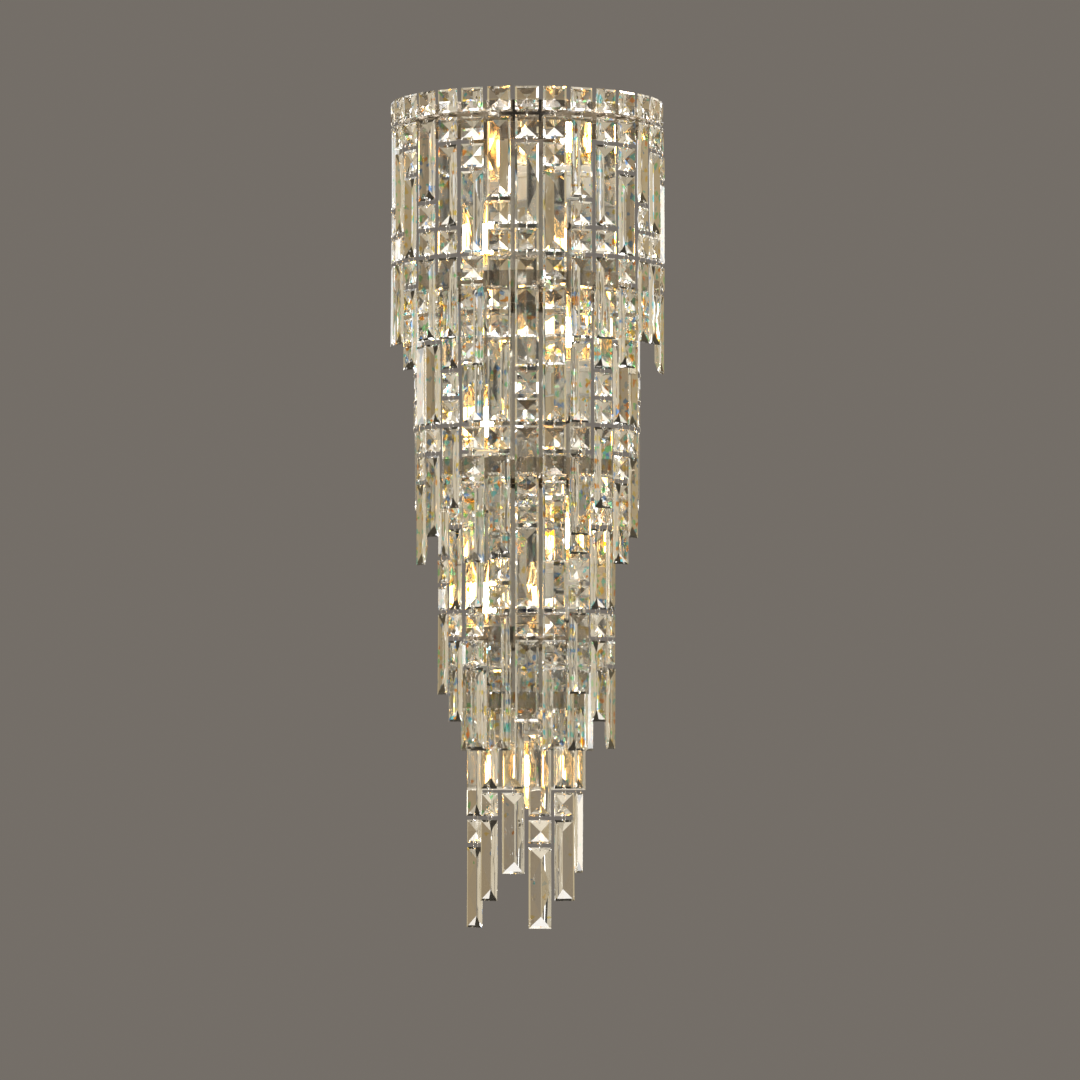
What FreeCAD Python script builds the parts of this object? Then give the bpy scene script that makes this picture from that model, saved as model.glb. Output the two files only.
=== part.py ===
"""Crystal wall sconce: five tiers of crystal strands on steel hoops, in front of a tall backplate.

X runs to the viewer's right, Y into the wall and Z up. The wall plane is Y = 0 and the origin is
the centre of the wall bracket's two screw holes. All sizes are in millimetres.
"""
import FreeCAD, Part
import math
import os

Vector = FreeCAD.Vector
UP = Vector(0, 0, 1)
INTO_WALL = Vector(0, 1, 0)
OUT_OF_WALL = Vector(0, -1, 0)
SIDEWAYS = Vector(1, 0, 0)

# Crystals: flat outer face, straight girdle and a hipped back that points at the wall.
crystal_width = 26.0
prism_length = 90.0
girdle = 3.0
hip_height = 5.0

# Strands: crystals one under another, joined by wire links.
link_gap = 4.5
column_gap = 5.4
link_width = 3.0
link_wire = 0.8
link_depth = 1.5
hang_depth = 2.75
strand_drop = 6.0
hook_below = 3.0
hook_plate = 1.0
hook_lip = 1.2
hook_clearance = 0.35

# Tiers: radius of the crystals' outer faces, and the drops from hoop to hoop.
tier_1_radius = 154.0
tier_step = 26.5
tier_4_step = 26.0
tier_5_step = 11.5
drop_1_2 = 186.0
drop_2_3 = 206.0
drop_3_4 = 188.0
drop_4_5 = 73.0
hoop_centre_from_wall = 38.0
column_overrun = 6.0

# Hoops: a flat band bent to a U, screwed at its ends to the ears of a crossbar.
band_height = 24.0
band_thickness = 3.0
band_behind_crystal = 1.0
bar_thickness = 3.0
ear_thickness = 2.0
ear_length = 12.0
side_nut_flats = 6.0
side_nut_thickness = 3.0
bar_screw_spacing = 80.0
screw_flats = 7.0
screw_head_height = 2.8

# Crown: one row of square crystals that stands on the first hoop.
crown_above_hoop = 0.0
crown_pin = 1.4
crown_pin_spacing = 12.0
crown_pin_height = 5.0

# Backplate: a shallow tray of polished steel, open towards the wall.
plate_depth = 22.0
plate_thickness = 1.5
plate_above_hoop_1 = 5.0
plate_below_hoop_5 = 98.0
plate_corner = 4.0

# Wall bracket with its two welded studs and their cap nuts.
bracket_width = 36.0
bracket_length = 260.0
bracket_thickness = 3.0
wall_screw_spacing = 220.0
wall_screw_hole = 2.75
stud_spacing = 100.0
stud_radius = 2.5
stud_past_plate = 7.0
stud_clearance = 0.5
nut_flats = 10.0
nut_height = 5.0
nut_wall = 2.0
nut_bore_clearance = 0.1

# Lamps: six stand upright down the backplate, right and left in turn, and the lowest one hangs.
lamp_1_below_hoop_1 = 87.5
lamp_2_below_hoop_2 = 16.0
lamp_3_above_hoop_3 = 84.5
lamp_4_below_hoop_3 = 16.5
lamp_5_above_hoop_4 = 46.5
lamp_6_below_hoop_4 = 24.5
lamp_angle = 45.0
low_lamp_angle = 70.0
lamp_to_hoop = 8.0
low_lamp_to_hoop = 2.5
hung_lamp_to_hoop = 3.0
bulb_radius = 17.5
bulb_widest = 27.0
bulb_length = 73.0
bulb_neck = 12.0
bulb_tip = 2.0
cap_radius = 7.0
cap_length = 24.0
cap_showing = 2.0
cap_clearance = 0.4
holder_radius = 13.5
holder_length = 38.0
holder_ring_radius = 15.5
holder_ring_height = 5.0
holder_ring_below_rim = 8.0
holder_floor = 3.0
arm_width = 24.0
arm_thickness = 1.5
arm_past_lamp = 14.0
arm_flange = 16.0

# Wiring: a trunk behind the backplate, a lead through a grommet to each lampholder.
lead_radius = 2.0
lead_bend = 8.0
lead_below_arm = 22.0
grommet_flange = 2.0
grommet_flange_height = 1.5
grommet_wall = 1.2
lead_clearance = 0.1
trunk_radius = 3.5
trunk_inside_lamps = 1.0
terminal_height = 16.0
terminal_above_stud = 25.0
earth_screw_from_centre = 30.0
earth_screw_below_centre = 20.0

# Small turned pieces that repeat have this many flats round them.
turned_sides = 10

# Strands of each tier by column, counted from the middle: S is a square, P a prism.
TIER_STRANDS = {
    1: ["SPSP", "SSPSP", "PSSP"],
    2: ["PSSP", "SSPSSP", "SSPSP"],
    3: ["SSPSP", "SSPSSP", "PSSP"],
    4: ["P", "SP", "SP", "SP"],
    5: ["SPSP", "PSP", "PP"],
}

# Worked out from the sizes above.
crystal_depth = girdle + hip_height
column_pitch = crystal_width + column_gap
band_depth = crystal_depth + band_behind_crystal
tier_radius = {1: tier_1_radius}
tier_radius[2] = tier_radius[1] - tier_step
tier_radius[3] = tier_radius[2] - tier_step
tier_radius[4] = tier_radius[3] - tier_4_step
tier_radius[5] = tier_radius[4] - tier_5_step
hoop_height = {1: drop_1_2 + drop_2_3 / 2}
hoop_height[2] = hoop_height[1] - drop_1_2
hoop_height[3] = hoop_height[2] - drop_2_3
hoop_height[4] = hoop_height[3] - drop_3_4
hoop_height[5] = hoop_height[4] - drop_4_5
TIERS = sorted(tier_radius)
plate_width = 2 * (tier_radius[4] - band_depth)
LAMP_SEATS = [
    hoop_height[1] - lamp_1_below_hoop_1,
    hoop_height[2] - lamp_2_below_hoop_2,
    hoop_height[3] + lamp_3_above_hoop_3,
    hoop_height[3] - lamp_4_below_hoop_3,
    hoop_height[4] + lamp_5_above_hoop_4,
    hoop_height[4] - lamp_6_below_hoop_4,
]
wire_plane = -plate_depth / 2
grommet_bore = lead_radius + lead_clearance
grommet_radius = grommet_bore + grommet_wall


def band_outer(tier):
    """Outer radius of a tier's hoop."""
    return tier_radius[tier] - band_depth


def band_inner(tier):
    """Inner radius of a tier's hoop."""
    return band_outer(tier) - band_thickness


def columns(tier):
    """Column numbers of a tier; the last tier has its columns either side of the middle."""
    shift = 0.5 if tier == TIERS[-1] else 0.0
    half_curve = math.pi / 2 * tier_radius[tier] + column_overrun - crystal_width / 2
    last = math.floor(half_curve / column_pitch - shift)
    first = -last - (1 if shift else 0)
    return [number + shift for number in range(first, last + 1)]


def strand_kind(tier, column):
    """The crystals of one strand, from the top down."""
    kinds = TIER_STRANDS[tier]
    return kinds[math.floor(column) % len(kinds)]


def crystal_height(letter):
    """Height of a square or a prism."""
    return crystal_width if letter == "S" else prism_length


def box(low_x, high_x, low_y, high_y, low_z, high_z):
    """A rectangular bar between two corners."""
    corner = Vector(low_x, low_y, low_z)
    return Part.makeBox(high_x - low_x, high_y - low_y, high_z - low_z, corner)


def outline(points):
    """A flat face through the points, in order."""
    return Part.Face(Part.makePolygon(points + points[:1]))


def shift(shape, x=0.0, y=0.0, z=0.0):
    """A moved copy of a shape."""
    return shape.translated(Vector(x, y, z))


def on_hoop(shape, tier, column):
    """A copy of a shape drawn at the middle of a tier, turned to its column about the hoop."""
    turned = shift(shape, y=-tier_radius[tier])
    angle = math.degrees(column * column_pitch / tier_radius[tier])
    turned.rotate(Vector(0, 0, 0), UP, angle)
    return shift(turned, y=-hoop_centre_from_wall)


def turned(points, sides=turned_sides):
    """A many-sided turned piece from its half outline of (radius, height) points."""
    turns = [math.radians(360 * (step + 0.5) / sides) for step in range(sides)]
    rings = []
    for radius, height in points:
        corners = turns if radius > 0 else turns[:1]
        rings.append([Vector(radius * math.cos(turn), radius * math.sin(turn), height) for turn in corners])
    if points[0][0] > 0:
        rings.append(rings[0])
    faces = []
    for near, far in zip(rings, rings[1:]):
        if len(near) == 1 or len(far) == 1:
            faces.append(outline(far if len(near) == 1 else near))
            continue
        for step in range(sides):
            after = (step + 1) % sides
            faces.append(outline([near[step], near[after], far[after], far[step]]))
    solid = Part.Solid(Part.Shell(faces))
    if solid.Volume < 0:
        solid.reverse()
    return solid


def facing_out(shape, x, y, z):
    """A piece drawn along Z, laid down so that its top points away from the wall, and placed."""
    copy = shape.copy()
    copy.rotate(Vector(0, 0, 0), SIDEWAYS, 90)
    return shift(copy, x, y, z)


def hexagon_face(flats, centre, direction):
    """A flat hexagon square to a direction."""
    corner = flats / math.sqrt(3)
    across = UP if abs(direction.z) < 0.5 else SIDEWAYS
    side = direction.cross(across)
    points = []
    for step in range(6):
        angle = math.radians(60 * step)
        points.append(centre + across * (corner * math.cos(angle)) + side * (corner * math.sin(angle)))
    return outline(points)


def hexagon(flats, length, centre, direction):
    """A six-sided bar from a centre along a direction."""
    return hexagon_face(flats, centre, direction).extrude(direction * length)


def crystal(height, top):
    """One crystal: outer face at Y = 0, hips and ridge on the inner side, top edge at the height."""
    half = crystal_width / 2
    low = top - height
    rim = [(-half, low), (half, low), (half, top), (-half, top)]
    outer = [Vector(x, 0, z) for x, z in rim]
    inner = [Vector(x, girdle, z) for x, z in rim]
    ridge_low = Vector(0, crystal_depth, low + half)
    ridge_top = Vector(0, crystal_depth, top - half)
    faces = [outline(outer)]
    for first in range(4):
        second = (first + 1) % 4
        faces.append(outline([outer[first], outer[second], inner[second], inner[first]]))
    faces.append(outline([inner[0], inner[1], ridge_low]))
    faces.append(outline([inner[2], inner[3], ridge_top]))
    if height > crystal_width:
        faces.append(outline([inner[1], inner[2], ridge_top, ridge_low]))
        faces.append(outline([inner[3], inner[0], ridge_low, ridge_top]))
    else:
        faces.append(outline([inner[1], inner[2], ridge_top]))
        faces.append(outline([inner[3], inner[0], ridge_top]))
    solid = Part.Solid(Part.Shell(faces))
    if solid.Volume < 0:
        solid.reverse()
    return solid


def link(depth, low, high):
    """A flat wire link between two heights."""
    half = link_width / 2
    return box(-half, half, depth - link_wire / 2, depth + link_wire / 2, low, high)


def strand(tier, column):
    """Crystals and links of one strand, hanging from its hook."""
    eye_top = hoop_height[tier] - hook_below - hook_clearance
    level = hoop_height[tier] - strand_drop
    pieces = [link(hang_depth, level, eye_top)]
    for place, letter in enumerate(strand_kind(tier, column)):
        if place > 0:
            pieces.append(link(link_depth, level - link_gap, level))
            level = level - link_gap
        pieces.append(crystal(crystal_height(letter), level))
        level = level - crystal_height(letter)
    return [on_hoop(piece, tier, column) for piece in pieces]


def hook(tier, column):
    """A small hook that stands out of the hoop over one strand, with its end turned up."""
    under = hoop_height[tier] - hook_below
    end = hang_depth - 1.5 * link_wire
    lip = end - hook_plate
    side = [
        (band_depth, under),
        (lip, under),
        (lip, under + hook_plate + hook_lip),
        (end, under + hook_plate + hook_lip),
        (end, under + hook_plate),
        (band_depth, under + hook_plate),
    ]
    face = outline([Vector(-link_width / 2, y, z) for y, z in side])
    return on_hoop(face.extrude(SIDEWAYS * link_width), tier, column)


def crown_square(column):
    """One upright square on the first hoop."""
    top = hoop_height[1] + crown_above_hoop + crystal_width
    return on_hoop(crystal(crystal_width, top), 1, column)


def crown_pins(column):
    """The two pins that carry one crown square, cut to the slope of its back."""
    level = hoop_height[1] + crown_pin_height
    top = hoop_height[1] + crown_above_hoop + crystal_width
    square = crystal(crystal_width, top)
    pins = []
    for side in (-0.5, 0.5):
        x = side * crown_pin_spacing
        half = crown_pin / 2
        bar = box(x - half, x + half, girdle, band_depth, level - half, level + half)
        pins.append(on_hoop(bar.cut(square).Solids[0], 1, column))
    return pins


def hoop(tier):
    """A flat band bent to a U: a half circle and two straight legs back to the plate."""
    centre_y = -hoop_centre_from_wall
    low = hoop_height[tier] - band_height / 2

    def filled(radius):
        front = Part.Arc(
            Vector(-radius, centre_y, low),
            Vector(0, centre_y - radius, low),
            Vector(radius, centre_y, low),
        ).toShape()
        right = Part.makeLine(Vector(radius, centre_y, low), Vector(radius, -plate_depth, low))
        back = Part.makeLine(Vector(radius, -plate_depth, low), Vector(-radius, -plate_depth, low))
        left = Part.makeLine(Vector(-radius, -plate_depth, low), Vector(-radius, centre_y, low))
        return Part.Face(Part.Wire([front, right, back, left])).extrude(UP * band_height)

    return filled(band_outer(tier)).cut(filled(band_inner(tier)))


def crossbar(tier):
    """The straight bar on the backplate, with an ear bent forward at each end."""
    reach = band_inner(tier)
    back = -plate_depth
    front = back - bar_thickness
    ear = back - ear_length
    inside = reach - ear_thickness
    points = [
        (-reach, back),
        (reach, back),
        (reach, ear),
        (inside, ear),
        (inside, front),
        (-inside, front),
        (-inside, ear),
        (-reach, ear),
    ]
    low = hoop_height[tier] - band_height / 2
    return outline([Vector(x, y, low) for x, y in points]).extrude(UP * band_height)


def side_nuts():
    """The nuts of the screws that hold each hoop to its crossbar's ears."""
    nuts = []
    y = -plate_depth - ear_length / 2
    for tier in TIERS:
        for side in (-1, 1):
            centre = Vector(side * band_outer(tier), y, hoop_height[tier])
            nuts.append(hexagon(side_nut_flats, side_nut_thickness, centre, SIDEWAYS * side))
    return nuts


def screw_head(centre):
    """A hexagon screw head that faces away from the wall."""
    return hexagon(screw_flats, screw_head_height, centre, OUT_OF_WALL)


def crossbar_screws():
    """Two screws through each crossbar into the backplate."""
    heads = []
    for tier in TIERS:
        for side in (-0.5, 0.5):
            x = side * min(bar_screw_spacing, 2 * band_inner(tier) - 3 * screw_flats)
            heads.append(screw_head(Vector(x, -plate_depth - bar_thickness, hoop_height[tier])))
    return heads


class Lamp:
    """One lamp: its axis, the height of its seat, and whether it stands (1) or hangs (-1)."""

    def __init__(self, x, y, seat, up):
        self.x = x
        self.y = y
        self.up = up
        self.seat = seat
        self.rim = seat + up * holder_length
        self.glass_end = self.rim + up * cap_showing
        self.lead_height = seat - up * (arm_thickness + lead_below_arm)


def upright_ring():
    """Radius of the ring that the standing lamps are on, but for the low one."""
    return band_inner(3) - bulb_radius - lamp_to_hoop


def lamps():
    """Every lamp, from the top down."""
    places = []
    for number, seat in enumerate(LAMP_SEATS, start=1):
        side = 1 if number % 2 else -1
        ring = upright_ring()
        angle = math.radians(lamp_angle)
        if number == len(LAMP_SEATS):
            ring = band_inner(4) - holder_ring_radius - low_lamp_to_hoop
            angle = math.radians(low_lamp_angle)
        x = side * ring * math.sin(angle)
        y = -hoop_centre_from_wall - ring * math.cos(angle)
        places.append(Lamp(x, y, seat, 1))
    ring = band_inner(5) - bulb_radius - hung_lamp_to_hoop
    lead_height = hoop_height[5] + band_height / 2 + grommet_radius + grommet_flange + 3 * lead_clearance
    seat = lead_height - lead_below_arm - arm_thickness
    places.append(Lamp(0, -hoop_centre_from_wall - ring, seat, -1))
    return places


def placed_on(shape, lamp, height):
    """A piece drawn upright at the origin, set on a lamp's axis, upside down if the lamp hangs."""
    copy = shape.copy()
    if lamp.up < 0:
        copy.rotate(Vector(0, 0, 0), SIDEWAYS, 180)
    return shift(copy, lamp.x, lamp.y, height)


def bulb_glass():
    """Candle-shaped glass, from its neck to its drawn-out tip."""
    swell = bulb_radius - bulb_neck
    rise = bulb_length - bulb_widest
    points = [
        (0, 0),
        (bulb_neck, 0),
        (bulb_neck + 0.8 * swell, 0.45 * bulb_widest),
        (bulb_radius, bulb_widest),
        (0.87 * bulb_radius, bulb_widest + 0.32 * rise),
        (0.54 * bulb_radius, bulb_widest + 0.68 * rise),
        (bulb_tip, bulb_length),
        (0, bulb_length),
    ]
    return turned(points)


def bulb_cap():
    """Screw cap under the glass, with a tapered contact end."""
    taper = 0.55 * cap_radius
    shoulder = -0.85 * cap_length
    points = [(0, 0), (cap_radius, 0), (cap_radius, shoulder), (taper, -cap_length), (0, -cap_length)]
    return turned(points)


def lampholder():
    """A lampholder cup with a ring round it; its rim is at Z = 0."""
    bore = cap_radius + cap_clearance
    bore_floor = -holder_length + holder_floor
    ring_top = -holder_ring_below_rim
    ring_low = ring_top - holder_ring_height
    points = [
        (0, bore_floor),
        (bore, bore_floor),
        (bore, 0),
        (holder_radius, 0),
        (holder_radius, ring_top),
        (holder_ring_radius, ring_top),
        (holder_ring_radius, ring_low),
        (holder_radius, ring_low),
        (holder_radius, -holder_length),
        (0, -holder_length),
    ]
    return turned(points)


def arm_back(lamp):
    """Where a lamp arm is fixed: the backplate, or the lowest crossbar for the hanging lamp."""
    return -plate_depth if lamp.up > 0 else -plate_depth - bar_thickness


def lamp_arm(lamp):
    """A bent strip: a shelf that carries the lampholder and a flange that is screwed on."""
    half = arm_width / 2
    back = arm_back(lamp)
    end = lamp.y - arm_past_lamp
    seat = lamp.seat
    under = seat - lamp.up * arm_thickness
    side = [
        (back, seat),
        (end, seat),
        (end, under),
        (back - arm_thickness, under),
        (back - arm_thickness, seat - lamp.up * arm_flange),
        (back, seat - lamp.up * arm_flange),
    ]
    face = outline([Vector(lamp.x - half, y, z) for y, z in side])
    arm = face.extrude(SIDEWAYS * arm_width)
    foot = Vector(lamp.x, lamp.y, min(seat, under))
    hole = turned([(0, 0), (lead_radius * 2, 0), (lead_radius * 2, arm_thickness), (0, arm_thickness)])
    return arm.cut(hole.translated(foot))


def arm_screw(lamp):
    """The screw of one lamp arm."""
    height = lamp.seat - lamp.up * arm_flange * 0.6
    return screw_head(Vector(lamp.x, arm_back(lamp) - arm_thickness, height))


def lead(lamp):
    """The lead from its trunk through the backplate and up, or down, into the lampholder."""
    level = lamp.lead_height
    route = [Vector(lamp.x, lamp.y, level), Vector(lamp.x, lamp.y, lamp.seat)]
    if lamp.up > 0:
        route.insert(0, Vector(lamp.x, wire_plane - trunk_radius, level))
    else:
        side = Vector(-trunk_side() + trunk_radius, wire_plane, level)
        route = [side, Vector(lamp.x, wire_plane, level)] + route
    edges = []
    begin = route[0]
    for corner, after in zip(route[1:-1], route[2:]):
        come = (corner - begin).normalize()
        go = (after - corner).normalize()
        bend_in = corner - come * lead_bend
        bend_out = corner + go * lead_bend
        middle = corner + (go - come) * lead_bend * (1 - math.sqrt(0.5))
        edges.append(Part.makeLine(begin, bend_in))
        edges.append(Part.Arc(bend_in, middle, bend_out).toShape())
        begin = bend_out
    edges.append(Part.makeLine(begin, route[-1]))
    along = (route[1] - route[0]).normalize()
    section = hexagon_face(lead_radius * math.sqrt(3), route[0], along).OuterWire
    return Part.Wire(edges).makePipeShell([section], True, False)


def grommet(lamp):
    """A flanged bush in the backplate round one lead."""
    flange = grommet_radius + grommet_flange
    points = [
        (grommet_bore, -plate_thickness),
        (grommet_radius, -plate_thickness),
        (grommet_radius, 0),
        (flange, 0),
        (flange, grommet_flange_height),
        (grommet_bore, grommet_flange_height),
    ]
    return facing_out(turned(points), lamp.x, -plate_depth, lamp.lead_height)


def plate_top():
    """Height of the backplate's upper edge."""
    return hoop_height[1] + plate_above_hoop_1


def plate_bottom():
    """Height of the backplate's lower edge."""
    return hoop_height[5] - plate_below_hoop_5


def backplate():
    """The polished tray: a front with rounded upright edges and a rim turned back to the wall."""
    half = plate_width / 2
    wall = plate_thickness
    tray = box(-half, half, -plate_depth, 0, plate_bottom(), plate_top())
    front = [edge for edge in tray.Edges if abs(edge.CenterOfMass.y + plate_depth) < 0.01]
    tray = tray.makeFillet(plate_corner, front)
    hollow = box(
        -half + wall, half - wall, -plate_depth + wall, wall, plate_bottom() + wall, plate_top() - wall
    )
    inner = [edge for edge in hollow.Edges if abs(edge.CenterOfMass.y + plate_depth - wall) < 0.01]
    tray = tray.cut(hollow.makeChamfer(plate_corner - wall, inner))
    holes = [(0, side * stud_spacing, stud_radius + stud_clearance) for side in (-0.5, 0.5)]
    holes += [(lamp.x, lamp.lead_height, grommet_radius) for lamp in lamps()]
    for x, z, radius in holes:
        drill = turned([(0, -wall), (radius, -wall), (radius, 0), (0, 0)])
        tray = tray.cut(facing_out(drill, x, -plate_depth, z))
    return tray


def wall_bracket():
    """The flat strap that is screwed to the wall."""
    half = bracket_width / 2
    length = bracket_length / 2
    strap = box(-half, half, -bracket_thickness, 0, -length, length)
    corners = [edge for edge in strap.Edges if abs(edge.tangentAt(0).y) > 0.9]
    strap = strap.makeChamfer(bracket_width / 4, corners)
    for side in (-0.5, 0.5):
        centre = Vector(0, -bracket_thickness, side * wall_screw_spacing)
        strap = strap.cut(Part.makeCylinder(wall_screw_hole, bracket_thickness, centre, INTO_WALL))
    return strap


def bracket_studs():
    """The two studs that stand on the strap and come out through the backplate."""
    length = plate_depth - bracket_thickness + stud_past_plate
    stud = turned([(0, 0), (stud_radius, 0), (stud_radius, length), (0, length)])
    return [facing_out(stud, 0, -bracket_thickness, side * stud_spacing) for side in (-0.5, 0.5)]


def cap_nuts():
    """Domed nuts that hold the backplate on the studs."""
    bore = stud_radius + nut_bore_clearance
    depth = stud_past_plate + nut_bore_clearance
    dome = nut_flats / 2
    top = depth + nut_wall
    nuts = []
    for side in (-0.5, 0.5):
        height = side * stud_spacing
        body = hexagon(nut_flats, nut_height, Vector(0, -plate_depth, height), OUT_OF_WALL)
        rise = top - nut_height
        points = [(0, 0), (dome, 0), (0.9 * dome, nut_height + 0.5 * rise), (0.5 * dome, top), (0, top)]
        nut = body.fuse(facing_out(turned(points), 0, -plate_depth, height))
        drill = turned([(0, 0), (bore, 0), (bore, depth), (0, depth)])
        nuts.append(nut.cut(facing_out(drill, 0, -plate_depth, height)).removeSplitter())
    return nuts


def terminal_low():
    """Height of the terminal block's lower face."""
    return stud_spacing / 2 + terminal_above_stud


def trunk_side():
    """How far each wiring trunk is from the middle: behind the standing lamps."""
    return upright_ring() * math.sin(math.radians(lamp_angle)) - trunk_inside_lamps


def wiring_trunks():
    """The two sleeved bundles of wires that run down behind the backplate, left and right."""
    trunks = []
    for side in (-1, 1):
        levels = [lamp.lead_height for lamp in lamps() if (lamp.x > 0) == (side > 0)]
        low = min(levels) - 2 * lead_radius
        top = max(levels + [terminal_low() + terminal_height]) + 2 * lead_radius
        points = [(0, low), (trunk_radius, low), (trunk_radius, top), (0, top)]
        trunks.append(shift(turned(points), side * trunk_side(), wire_plane, 0))
    return trunks


def terminal_block():
    """The mains terminal block on the back of the backplate, from trunk to trunk."""
    half = trunk_side() - trunk_radius
    front = -plate_depth + plate_thickness
    low = terminal_low()
    return box(-half, half, front, -2 * bracket_thickness, low, low + terminal_height)


def earth_screw():
    """The earth screw on the back of the backplate."""
    seat = Vector(-earth_screw_from_centre, -plate_depth + plate_thickness, -earth_screw_below_centre)
    return hexagon(screw_flats, screw_head_height, seat, INTO_WALL)


def save(name, solids):
    """Write the solids of one node."""
    shape = solids[0] if len(solids) == 1 else Part.makeCompound(solids)
    shape.exportStep("parts/" + name + ".step")


def main():
    """Build every piece and write it under its name."""
    os.makedirs("parts", exist_ok=True)
    all_lamps = lamps()
    save("wall_bracket", [wall_bracket()])
    save("bracket_studs", bracket_studs())
    save("cap_nuts", cap_nuts())
    save("backplate", [backplate()])
    save("terminal_block", [terminal_block()])
    save("earth_screw", [earth_screw()])
    save("wiring_trunks", wiring_trunks())
    save("lamp_leads", [lead(lamp) for lamp in all_lamps])
    save("lead_grommets", [grommet(lamp) for lamp in all_lamps])
    save("lamp_arms", [lamp_arm(lamp) for lamp in all_lamps])
    save("arm_screws", [arm_screw(lamp) for lamp in all_lamps])
    save("lampholders", [placed_on(lampholder(), lamp, lamp.rim) for lamp in all_lamps])
    save("bulb_caps", [placed_on(bulb_cap(), lamp, lamp.glass_end) for lamp in all_lamps])
    save("bulbs", [placed_on(bulb_glass(), lamp, lamp.glass_end) for lamp in all_lamps])
    save("crossbar_screws", crossbar_screws())
    save("side_nuts", side_nuts())
    for tier in TIERS:
        save("hoop_%d" % tier, [hoop(tier)])
        save("crossbar_%d" % tier, [crossbar(tier)])
    save("crown_crystals", [crown_square(column) for column in columns(1)])
    save("crown_pins", [pin for column in columns(1) for pin in crown_pins(column)])
    save("strand_hooks", [hook(tier, column) for tier in TIERS for column in columns(tier)])
    for tier in (1, 4, 5):
        for number, column in enumerate(columns(tier), start=1):
            save("strand_%d_%02d" % (tier, number), strand(tier, column))
    for tier in (2, 3):
        group = [piece for column in columns(tier) for piece in strand(tier, column)]
        save("tier_%d_strands" % tier, group)


main()
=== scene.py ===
"""Looks of the crystal wall sconce: cut crystals, wire rings, lamps and polished steel.

Metres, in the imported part's frame: X to the viewer's right, Y into the wall, Z up.
"""
import math
import random

import bpy
from mathutils import Matrix, Vector


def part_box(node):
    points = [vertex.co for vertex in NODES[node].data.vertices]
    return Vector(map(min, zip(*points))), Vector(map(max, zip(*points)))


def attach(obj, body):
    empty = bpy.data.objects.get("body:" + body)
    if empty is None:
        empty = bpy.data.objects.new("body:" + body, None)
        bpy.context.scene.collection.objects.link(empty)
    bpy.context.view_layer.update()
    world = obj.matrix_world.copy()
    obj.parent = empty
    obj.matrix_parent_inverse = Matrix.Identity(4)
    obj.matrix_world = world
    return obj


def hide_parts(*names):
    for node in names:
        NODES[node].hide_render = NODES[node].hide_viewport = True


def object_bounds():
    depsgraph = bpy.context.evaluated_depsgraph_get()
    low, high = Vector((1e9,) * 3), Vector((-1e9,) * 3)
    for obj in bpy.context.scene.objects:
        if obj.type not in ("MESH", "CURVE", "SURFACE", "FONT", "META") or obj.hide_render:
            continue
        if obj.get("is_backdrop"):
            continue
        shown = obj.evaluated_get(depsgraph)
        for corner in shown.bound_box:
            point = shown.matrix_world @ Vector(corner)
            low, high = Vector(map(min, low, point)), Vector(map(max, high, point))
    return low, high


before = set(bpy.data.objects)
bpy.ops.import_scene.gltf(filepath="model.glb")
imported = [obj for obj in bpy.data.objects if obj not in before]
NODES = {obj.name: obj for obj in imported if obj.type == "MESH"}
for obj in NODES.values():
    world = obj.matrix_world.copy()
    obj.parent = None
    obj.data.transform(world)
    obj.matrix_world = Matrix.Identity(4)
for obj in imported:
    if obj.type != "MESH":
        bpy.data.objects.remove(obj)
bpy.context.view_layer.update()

MM = 0.001
OUT_OF_WALL = Vector((0, -1, 0))
UP = Vector((0, 0, 1))

# Sizes of the crystals and strands, as the part has them.
CRYSTAL_WIDTH = 26.0 * MM
PRISM_LENGTH = 90.0 * MM
CRYSTAL_DEPTH = 8.0 * MM
LINK_GAP = 4.5 * MM
COLUMN_GAP = 5.4 * MM
STRAND_DROP = 6.0 * MM
HOOK_BELOW = 3.0 * MM
HANG_DEPTH = 2.75 * MM
COLUMN_OVERRUN = 6.0 * MM
BAND_BEHIND_FACE = 9.0 * MM

# Detail of the crystals that only shows close up.
TABLE_BEVEL = 2.4 * MM
TABLE_RISE = 1.0 * MM
GIRDLE = 1.5 * MM
RIM_WAVE = 0.8 * MM
APEX = CRYSTAL_DEPTH + 0.8 * MM
SHORTEST_RIDGE = 0.02 * MM
RIDGE_THINNING = 0.001
HOLE_RADIUS = 1.1 * MM
HOLE_FROM_EDGE = 2.6 * MM
HOLE_SIDES = 6
DRILL_LENGTH = 4 * CRYSTAL_DEPTH

# The rings. The one at a hook is lower and narrows towards its top.
RING_WIRE = 0.45 * MM
RING_SIDES = 6
RING_STEPS = 14
RING_FRONT = -0.9 * MM
RING_BACK = 5.6 * MM
TOP_RING_BELOW = 0.75 * MM
TOP_RING_SHARE = 0.45
TOP_RING_FROM = 0.3

# Tolerances: how near two places have to be, and how straight a face has to look along Y.
NEAR = 0.1 * MM
WELD = 0.06 * MM
SQUARE_ON = 0.9

TIER_STRANDS = {
    1: ["SPSP", "SSPSP", "PSSP"],
    2: ["PSSP", "SSPSSP", "SSPSP"],
    3: ["SSPSP", "SSPSSP", "PSSP"],
    4: ["P", "SP", "SP", "SP"],
    5: ["SPSP", "PSP", "PP"],
}
TIERS = sorted(TIER_STRANDS)
WHOLE_TIERS = (2, 3)

# How far strands and single crystals hang turned, in degrees.
TWIST = {1: 7.0, 2: 7.0, 3: 7.0, 4: 10.0, 5: 12.0}
TWISTED_STRANDS = {(5, 1): 22.0, (5, 4): -32.0}
ASKEW = 3.0
TILT = 0.5
CROWN_TURN = 2.0
HAND = random.Random(7)


def middle_height(name):
    """Height of the middle of a node."""
    low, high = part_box(name)
    return (low.z + high.z) / 2


def half_width(name):
    """Half the width of a node."""
    low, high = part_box(name)
    return (high.x - low.x) / 2


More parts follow.
